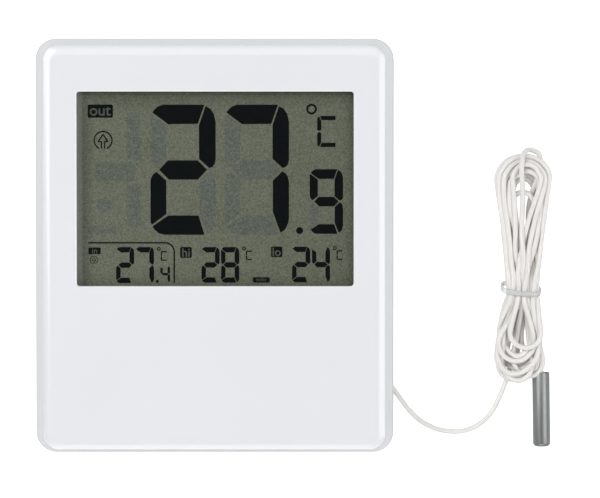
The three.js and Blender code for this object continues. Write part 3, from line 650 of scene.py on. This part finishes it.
# ---- the probe ----
PROBE_TOP = np.array([94.15, -36.9, 2.5])
PROBE_END = np.array([94.45, -58.4, 2.5])
PROBE_R = 2.5
PROBE_WALL = 0.35

probe_axis = PROBE_END - PROBE_TOP
probe_length = np.linalg.norm(probe_axis)


def arc(r, h, radius, a0, a1, steps=6):
    """Points of a profile's round corner about (r, h), from angle a0 to a1 in degrees."""
    a = np.radians(np.linspace(a0, a1, steps))
    return list(zip(r + radius * np.cos(a), h + radius * np.sin(a)))


bore = PROBE_R - PROBE_WALL
tube_profile = ([(0.0, 6.0), (bore, 6.0), (bore, 0.3)]
                + arc(PROBE_R - PROBE_WALL / 2, 0.18, PROBE_WALL / 2, 180, 360, 7)
                + [(PROBE_R, probe_length - 1.1)]
                + arc(PROBE_R - 1.1, probe_length - 1.1, 1.1, 12, 78)
                + [(1.1, probe_length), (0.9, probe_length - 0.06), (0.3, probe_length - 0.22),
                   (0.0, probe_length - 0.24)])
probe_tube = surface("probe_sleeve", lathe(tube_profile, 72, PROBE_TOP, probe_axis), stainless, caps=False,
                     sharp=50)
seal_profile = [(0.0, 5.7), (bore - 0.05, 5.7), (bore - 0.05, 0.75), (1.6, 0.45), (1.15, 0.12), (0.85, -0.25),
                (0.0, -0.3)]
probe_seal = surface("probe_seal_resin", lathe(seal_profile, 48, PROBE_TOP, probe_axis), resin, caps=False,
                     sharp=50)

for piece, node_names, slot in ((probe_tube, ["probe_tube"], "probe_steel"),
                                (probe_seal, ["probe_seal"], "probe_resin"),
                                (strap, ["cord_tie"], "tie_pvc"),
                                (sensor_lead, ["sensor_cord", "cord_hank", "probe_lead"], "lead_pvc")):
    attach(piece, "case")
    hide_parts(*node_names)

# ---- floor and light ----
FLOOR_DROP = 0.2                 # the floor lies this far under the case, so the two faces don't flicker
FLOOR_HALF = 12000               # half its side
FLOOR_GLOW = 0.85                # what the eye sees of it beyond its paper
FLOOR_BOUNCE = 0.5               # and what the object gets back from it

floor_corners = np.array([(-1, -1), (1, -1), (1, 1), (-1, 1)]) * FLOOR_HALF
floor_mesh = bpy.data.meshes.new("floor")
floor_mesh.from_pydata(mm(np.column_stack([floor_corners, np.full(4, -FLOOR_DROP)])).tolist(), [],
                       [(0, 1, 2, 3)])
floor = bpy.data.objects.new("floor", floor_mesh)
scene.collection.objects.link(floor)


def floor_paper():
    """White sweep lit from under. The eye sees it white; what it throws back on the object is that of a
    grey table, so that the sides of the case stay a shade darker than its face."""
    material, tree = new_material("white_sweep")
    where = add(tree, "ShaderNodeTexCoord").outputs["Object"]
    fibre = add(tree, "ShaderNodeTexNoise", {"Vector": where, "Scale": per_mm(60), "Detail": 2})
    tone = add(tree, "ShaderNodeMix", {"Factor": fibre.outputs["Fac"], "A": linear("#f4f4f4"),
                                       "B": linear("#f1f1f2")}, data_type="RGBA")
    white = add(tree, "ShaderNodeBsdfPrincipled", {
        "Base Color": tone.outputs["Result"], "Roughness": 0.9, "Specular IOR Level": 0.0,
        "Emission Color": (1, 1, 1, 1), "Emission Strength": FLOOR_GLOW})
    grey = add(tree, "ShaderNodeBsdfPrincipled", {
        "Base Color": linear("#909192"), "Roughness": 0.9, "Specular IOR Level": 0.0,
        "Emission Color": (1, 1, 1, 1), "Emission Strength": FLOOR_BOUNCE})
    seen = add(tree, "ShaderNodeLightPath").outputs["Is Camera Ray"]
    either = add(tree, "ShaderNodeMixShader", {0: seen, 1: grey.outputs["BSDF"],
                                               2: white.outputs["BSDF"]})
    finish_material(tree, either.outputs["Shader"])
    return material


floor_mesh.materials.append(floor_paper())


def softbox(name, place, aim, width, height, power):
    """A large rectangular light at a place, aimed at a point, both in metres."""
    data = bpy.data.lights.new(name, "AREA")
    data.shape = "RECTANGLE"
    data.size = width
    data.size_y = height
    data.energy = power
    lamp = bpy.data.objects.new(name, data)
    lamp.location = place
    lamp.rotation_euler = (Vector(aim) - Vector(place)).to_track_quat("-Z", "Y").to_euler()
    scene.collection.objects.link(lamp)


AIM = (0.02, 0.0, 0.01)
SOFTBOX_DISTANCE = 1.6


def from_direction(azimuth, elevation):
    """A place round the object: azimuth from +X towards +Y and elevation above the floor, in degrees."""
    a, e = math.radians(azimuth), math.radians(elevation)
    return (SOFTBOX_DISTANCE * math.cos(a) * math.cos(e), SOFTBOX_DISTANCE * math.sin(a) * math.cos(e),
            SOFTBOX_DISTANCE * math.sin(e))


softbox("softbox_key", from_direction(152, 50), AIM, 1.1, 1.0, 11.4)
softbox("softbox_right", from_direction(0, 44), AIM, 1.1, 1.1, 9.0)
softbox("softbox_front", from_direction(-90, 38), AIM, 1.4, 0.9, 8.2)
softbox("softbox_top", from_direction(88, 64), AIM, 1.3, 0.8, 4.6)

SKY_SEEN = 0.95                  # the backdrop's strength to the eye
SKY_LOW, SKY_HIGH = 0.35, 0.03   # and to the object, at the side and overhead


def studio_world():
    """A white backdrop that lights the object from the sides more than from overhead."""
    world = bpy.data.worlds.new("studio")
    world.use_nodes = True
    tree = world.node_tree
    tree.nodes.clear()
    direction = add(tree, "ShaderNodeTexCoord").outputs["Generated"]
    height = add(tree, "ShaderNodeSeparateXYZ", {"Vector": direction}).outputs["Z"]
    fade = add(tree, "ShaderNodeMapRange", {"Value": height, "From Min": 0.3, "From Max": 0.85,
                                            "To Min": SKY_LOW, "To Max": SKY_HIGH})
    seen = add(tree, "ShaderNodeLightPath").outputs["Is Camera Ray"]
    strength = add(tree, "ShaderNodeMix", {"Factor": seen, "A": fade.outputs["Result"], "B": SKY_SEEN})
    sky = add(tree, "ShaderNodeBackground", {"Color": (1.0, 1.0, 1.0, 1),
                                             "Strength": strength.outputs["Result"]})
    add(tree, "ShaderNodeOutputWorld", {"Surface": sky.outputs["Background"]})
    return world


scene.world = studio_world()
scene.view_settings.view_transform = "Standard"
scene.view_settings.look = "None"

# ---- front shell ----
PART_Z = 8.15
CREASE_Z = 19.2
FACE_Z = 20.0
RIM = (103.0, 119.2, 6.0)
FACE = (97.6, 115.6, 4.4)
CROWN_RUN = 4.0
CROWN_CURVE = 2.4                # the power by which the crown levels out
WALL = 1.8
CEILING_Z = 18.2                 # the shell's inside face, behind its front
LEDGE_Z = 19.0                   # the step behind the opening that the window lies against
LEDGE = 2.1                      # and its width
WINDOW = {"x": 0.3, "y": 16.8, "w": 79.0, "l": 55.5}

# The opening's softened edge: rows of depth below the face, how far it stands out and its corners' radius.
WINDOW_EDGE = [(0, 0.56, 1.35), (0.02, 0.46, 1.25), (0.15, 0.13, 0.95), (0.24, 0.03, 0.88), (0.45, 0, 0.85)]


def wall_level(z, inset=0.0):
    """The drafted wall's outline at a height: it narrows evenly from the rim to the crease."""
    t = (z - PART_Z) / (CREASE_Z - PART_Z)
    w, l, r = (a + (b - a) * t for a, b in zip(RIM, FACE))
    return (z, w - 2 * inset, l - 2 * inset, max(r - inset, 0.6), 0, 0)


def crown_level(t):
    """The face's rim rises from the crease inwards, steeply at first, and is flat after CROWN_RUN."""
    w, l, r = FACE
    return (FACE_Z - (FACE_Z - CREASE_Z) * (1 - t) ** CROWN_CURVE, w - 2 * CROWN_RUN * t,
            l - 2 * CROWN_RUN * t, r - (r - 1) * t, 0, 0)


def window_level(z, grow, r):
    """The window opening's outline at a height, grown all round, with corners of radius r."""
    return (z, WINDOW["w"] + 2 * grow, WINDOW["l"] + 2 * grow, r, WINDOW["x"], WINDOW["y"])


shell_levels = [wall_level(PART_Z, 0.25), wall_level(PART_Z + 0.08, 0.07), wall_level(PART_Z + 0.25)]
shell_levels += [wall_level(z) for z in (10, 13, 16, 18.7)]
shell_levels += [wall_level(CREASE_Z - 0.22, -0.01), wall_level(CREASE_Z - 0.1, 0.02)]
shell_levels += [crown_level(t) for t in np.linspace(0.02, 1, 18)]
shell_levels += [window_level(FACE_Z - depth, grow, r) for depth, grow, r in WINDOW_EDGE]
shell_levels += [window_level(LEDGE_Z, 0, 0.8), window_level(LEDGE_Z, LEDGE, 1.2),
                 window_level(CEILING_Z, LEDGE, 1.2), wall_level(CEILING_Z, WALL), wall_level(PART_Z, WALL)]
front_shell = surface("front_shell", loft(shell_levels, 16), white_gloss_abs, close_rows=True, sharp=32)
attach(front_shell, "case")
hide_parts("front_case")

# ---- window and display ----
pane_levels = [window_level(17.7, 1.7, 1.0), window_level(17.8, 1.8, 1.0), window_level(18.6, 1.8, 1.0),
               window_level(18.7, 1.7, 1.0)]
window_pane = surface("window_pane", loft(pane_levels, 8), clear_window)
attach(window_pane, "case")
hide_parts("window_lens")

# A digit's seven segments in a box one unit wide and high, with the outer corners of the digit rounded.
SEGMENTS = {
    "a": [(0.029, 0.938), (0.058, 0.957), (0.106, 0.981), (0.193, 0.998), (0.828, 0.998), (0.725, 0.851),
          (0.271, 0.848)],
    "b": [(0.845, 0.986), (0.919, 0.966), (0.971, 0.928), (1, 0.866), (1, 0.578), (0.986, 0.544),
          (0.948, 0.520), (0.899, 0.513), (0.745, 0.583), (0.745, 0.842)],
    "c": [(0.894, 0.487), (0.948, 0.472), (0.983, 0.443), (1, 0.405), (1, 0.127), (0.986, 0.088),
          (0.938, 0.040), (0.868, 0.016), (0.749, 0.175), (0.749, 0.415)],
    "d": [(0.029, 0.064), (0.068, 0.036), (0.126, 0.012), (0.213, 0), (0.828, 0), (0.735, 0.148),
          (0.271, 0.148)],
    "e": [(0.093, 0.482), (0.048, 0.469), (0.015, 0.443), (0, 0.410), (0, 0.098), (0.019, 0.077),
          (0.242, 0.160), (0.242, 0.415)],
    "g": [(0.132, 0.499), (0.267, 0.571), (0.725, 0.571), (0.867, 0.499), (0.725, 0.424), (0.280, 0.424)],
}
SEGMENTS["f"] = [(u, 1 - v) for u, v in SEGMENTS["e"]]
LIT = {"2": "abged", "4": "fgbc", "7": "abc", "8": "abcdefg", "9": "abcdfg"}
ALL_SEGMENTS = "abcdefg"
CELSIUS = [[(0.15, 1), (1, 1), (1, 0.865), (0.24, 0.865)],
           [(0, 0.92), (0.03, 0.96), (0.11, 0.985), (0.22, 0.85), (0.22, 0.55), (0.1, 0.515), (0, 0.55)],
           [(0, 0.08), (0.03, 0.04), (0.11, 0.015), (0.22, 0.15), (0.22, 0.45), (0.1, 0.485), (0, 0.45)],
           [(0.15, 0), (1, 0), (1, 0.135), (0.24, 0.135)]]

DISPLAY_Z = 17.45                # outer face of the polariser
UNLIT_Z = (DISPLAY_Z + 0.005, DISPLAY_Z + 0.01)
LIT_Z = (DISPLAY_Z + 0.012, DISPLAY_Z + 0.03)
LEGEND_Z = (DISPLAY_Z + 0.032, DISPLAY_Z + 0.045)


def placed(shapes, x0, x1, y0, y1):
    """Unit shapes stretched over a box."""
    return [np.array(s) * (x1 - x0, y1 - y0) + (x0, y0) for s in shapes]


def digit(name, box):
    """The switched segments of a digit in its box."""
    return placed([SEGMENTS[s] for s in LIT[name]], *box)


def unlit_of(name, box):
    """The segments that the digit leaves unswitched."""
    return placed([SEGMENTS[s] for s in ALL_SEGMENTS if s not in LIT[name]], *box)


def disc(x, y, r, sides=28):
    """A circle's outline."""
    a = np.linspace(0, 2 * math.pi, sides, endpoint=False)
    return np.column_stack([x + r * np.cos(a), y + r * np.sin(a)])


def hoop(x, y, r, inner, steps=20):
    """A ring as two half bands, so that each is one plain outline."""
    bands = []
    for start in (0, math.pi):
        a = start + np.linspace(0, math.pi, steps + 1)
        out = np.column_stack([x + r * np.cos(a), y + r * np.sin(a)])
        bands.append(np.vstack([out, np.column_stack([x + inner * np.cos(a), y + inner * np.sin(a)])[::-1]]))
    return bands


def stroke(points, width):
    """A line of an even width along a path: the path shifted half the width to each side."""
    p = np.asarray(points, float)
    along = np.gradient(p, axis=0)
    along /= np.linalg.norm(along, axis=1)[:, None]
    side = np.column_stack([-along[:, 1], along[:, 0]]) * width / 2
    return np.vstack([p + side, (p - side)[::-1]])


def tablet(x0, x1, y0, y1, r=0.35):
    """A box with its corners rounded."""
    return rounded(x1 - x0, y1 - y0, r, (x0 + x1) / 2, (y0 + y1) / 2, 3)


BIG_2 = (-18.19, 0.43, 3.61, 40.88)
BIG_7 = (3.0, 21.37, 3.61, 40.88)
TENTH_9 = (27.29, 36.81, 3.9, 22.4)
IN_2 = (-28.03, -22.91, -10.22, 0.12)
IN_7 = (-22.5, -17.22, -10.22, 0.12)
IN_4 = (-15.39, -12.67, -9.96, -5.29)
HIGH_2 = (-3.63, 1.52, -10.08, 0.12)
HIGH_8 = (1.94, 7.15, -10.08, 0.12)
LOW_2 = (22.25, 27.43, -9.99, 0.23)
LOW_4 = (27.95, 33.09, -9.99, 0.23)
reading = [("2", BIG_2), ("7", BIG_7), ("9", TENTH_9), ("2", IN_2), ("7", IN_7), ("4", IN_4), ("2", HIGH_2),
           ("8", HIGH_8), ("2", LOW_2), ("4", LOW_4)]

lit = [shape for name, box in reading for shape in digit(name, box)]
lit += [disc(24.4, 4.82, 1.0), disc(-16.28, -9.73, 0.42)]
for x, y, r, inner in ((27.8, 39.53, 1.54, 0.94), (-15.87, -0.4, 0.55, 0.27), (8.52, -0.28, 0.55, 0.27),
                       (34.44, -0.2, 0.55, 0.27)):
    lit += hoop(x, y, r, inner)
for box in ((29.43, 34.64, 28.7, 37.58), (-15.3, -13.56, -3.83, -1.05), (9.07, 10.75, -3.66, -0.91),
            (34.95, 36.61, -3.6, -0.8)):
    lit += placed(CELSIUS, *box)

# The line round the indoor reading: across, round a quarter circle and down.
turn = np.linspace(math.pi / 2, 0, 9)
divider = np.vstack([[(-36.0, 1.32), (-25.0, 1.32)],
                     np.column_stack([-14.04 + 2.6 * np.cos(turn), -1.28 + 2.6 * np.sin(turn)]),
                     [(-11.44, -5.0), (-11.44, -10.13)]])
lit.append(stroke(divider, 0.42))

ARROW = [(-0.17, -0.86), (-0.17, -0.12), (-0.52, -0.12), (0, 0.62), (0.52, -0.12), (0.17, -0.12),
         (0.17, -0.86)]


def arrow_badge(x, y, r):
    """A round outline, open at its foot, with a broad arrow pointing up drawn as an outline in it."""
    line = 0.14 * r
    a = math.radians(-90) + np.linspace(math.radians(24), math.radians(336), 41)
    ring_line = stroke(np.column_stack([x + 0.93 * r * np.cos(a), y + 0.93 * r * np.sin(a)]), line)
    corners = np.array(ARROW) * r + (x, y)
    return [ring_line] + [stroke([a0, a1], line) for a0, a1 in zip(corners[:-1], corners[1:])]


lit += arrow_badge(-31.72, 30.6, 2.74) + arrow_badge(-34.4, -3.63, 1.15)

LEGENDS = [("out", (-36.1, -28.89, 37.07, 40.82)), ("in", (-35.96, -32.47, -1.94, -0.02)),
           ("hi", (-9.75, -6.41, -2.97, 0.12)), ("lo", (16.25, 19.45, -2.77, 0.23)),
           ("today", (11.04, 15.87, -10.05, -8.53))]
lit += [tablet(*box) for _, box in LEGENDS]
display_marks = prisms("display_segments_lit", lit, *LIT_Z, ink)

ghosts = [shape for name, box in reading[:3] for shape in unlit_of(name, box)]
ghosts += [tablet(-34.1, -22.7, 19.0, 24.4, 0.4), disc(-31.2, 12.0, 2.3), tablet(-36.1, -28.1, 3.8, 6.1, 0.4),
           tablet(-25.0, -21.0, 6.0, 18.2, 0.4), tablet(-25.0, -21.0, 25.2, 38.6, 0.4)]
ghost_marks = prisms("display_segments_unlit", ghosts, *UNLIT_Z, unlit)


def legend_mesh():
    """Points and faces of the plain words on the tablets, set in the stock sans and fitted inside their
    tablets."""
    points, faces, base = [], [], 0
    for text, (x0, x1, y0, y1) in LEGENDS:
        curve = bpy.data.curves.new("legend_" + text, "FONT")
        curve.body = text
        curve.extrude = 0.01
        curve.offset = 0.012
        made = bpy.data.objects.new("legend_" + text, curve)
        scene.collection.objects.link(made)
        bpy.context.view_layer.update()
        evaluated = made.evaluated_get(bpy.context.evaluated_depsgraph_get())
        mesh = evaluated.to_mesh()
        word = np.empty(len(mesh.vertices) * 3)
        mesh.vertices.foreach_get("co", word)
        word = word.reshape(-1, 3)
        faces += [[base + k for k in polygon.vertices] for polygon in mesh.polygons]
        base += len(word)
        lo, hi = word.min(0), word.max(0)
        fit = min((x1 - x0) * 0.84 / (hi[0] - lo[0]), (y1 - y0) * 0.8 / (hi[1] - lo[1]))
        middle = ((x0 + x1) / 2, (y0 + y1) / 2)
        flat = (word[:, :2] - (lo[:2] + hi[:2]) / 2) * fit + middle
        z = np.where(word[:, 2] > (lo[2] + hi[2]) / 2, LEGEND_Z[1], LEGEND_Z[0])
        points.append(np.column_stack([flat, z]))
        evaluated.to_mesh_clear()
        bpy.data.objects.remove(made)
    return mm(np.vstack(points)), faces


legend_words = new_piece("display_legend_words", *legend_mesh(), legend_ground, smooth=False)
for piece in (display_marks, ghost_marks, legend_words):
    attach(piece, "case")


# ---- parts kept from the CAD, with their edges broken ----
def softened(node_name, piece_name, body, material, edge, angle=32):
    """A welded copy of a CAD node with its flat faces joined, its curved ones shaded smooth and its edges
    rounded by the given millimetres."""
    work = bmesh.new()
    work.from_mesh(nodes[node_name].data)
    bmesh.ops.remove_doubles(work, verts=work.verts, dist=2e-6)
    bmesh.ops.dissolve_limit(work, angle_limit=math.radians(0.6), verts=work.verts, edges=work.edges)
    mesh = bpy.data.meshes.new(piece_name)
    work.to_mesh(mesh)
    work.free()
    mesh.polygons.foreach_set("use_smooth", np.ones(len(mesh.polygons), bool))
    mesh.set_sharp_from_angle(angle=math.radians(angle))
    mesh.materials.clear()
    mesh.materials.append(material)
    piece = bpy.data.objects.new(piece_name, mesh)
    scene.collection.objects.link(piece)
    if edge:
        bevel = piece.modifiers.new("broken_edges", "BEVEL")
        bevel.width = edge * 0.001
        bevel.segments = 2
        bevel.limit_method = "ANGLE"
        bevel.angle_limit = math.radians(angle)
        bevel.miter_outer = "MITER_ARC"
    flat = piece.modifiers.new("even_normals", "WEIGHTED_NORMAL")
    flat.weight = 100
    flat.keep_sharp = True
    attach(piece, body)
    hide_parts(node_name)
    return piece


softened("rear_case", "rear_shell", "case", white_satin_abs, 0.12)
softened("battery_door", "battery_cover", "door", white_satin_abs, 0.12)
softened("stand_leg", "stand_foot", "stand", white_satin_abs, 0.2)
softened("lcd_holder", "display_frame", "case", white_satin_abs, 0)
for key in ("max_min", "reset", "unit", "channel"):
    softened(f"button_{key}", f"cap_{key}", f"{key}_key", white_satin_abs, 0)
softened("cord_gland", "lead_grommet", "case", lead_pvc, 0, angle=50)
for n in range(1, 5):
    softened(f"case_screw_{n}", f"case_screw_{n}_head", "case", nickel, 0)

# ---- finishes of the CAD nodes that stay as they are ----
FINISHES = {
    "lcd_front_polariser": film, "lcd_front_glass": glass, "lcd_rear_glass": glass,
    "lcd_reflector": reflector,
    "contact_strip_top": rubber, "contact_strip_bottom": rubber, "circuit_board": board_laminate,
    "chip_blob": black_resin, "watch_crystal": nickel, "capacitor": sleeve, "indoor_thermistor": black_resin,
    "battery_aaa": sleeve, "battery_contact_positive": nickel, "battery_contact_negative": nickel,
    "battery_spring": nickel, "battery_lead_red": red_pvc, "battery_lead_black": black_pvc,
    "sensor_lead_inside": lead_pvc,
}
for n in range(1, 5):
    FINISHES[f"tact_switch_{n}"] = black_resin
    FINISHES[f"module_screw_{n}"] = nickel
for name, material in FINISHES.items():
    nodes[name].data.materials.clear()
    nodes[name].data.materials.append(material)
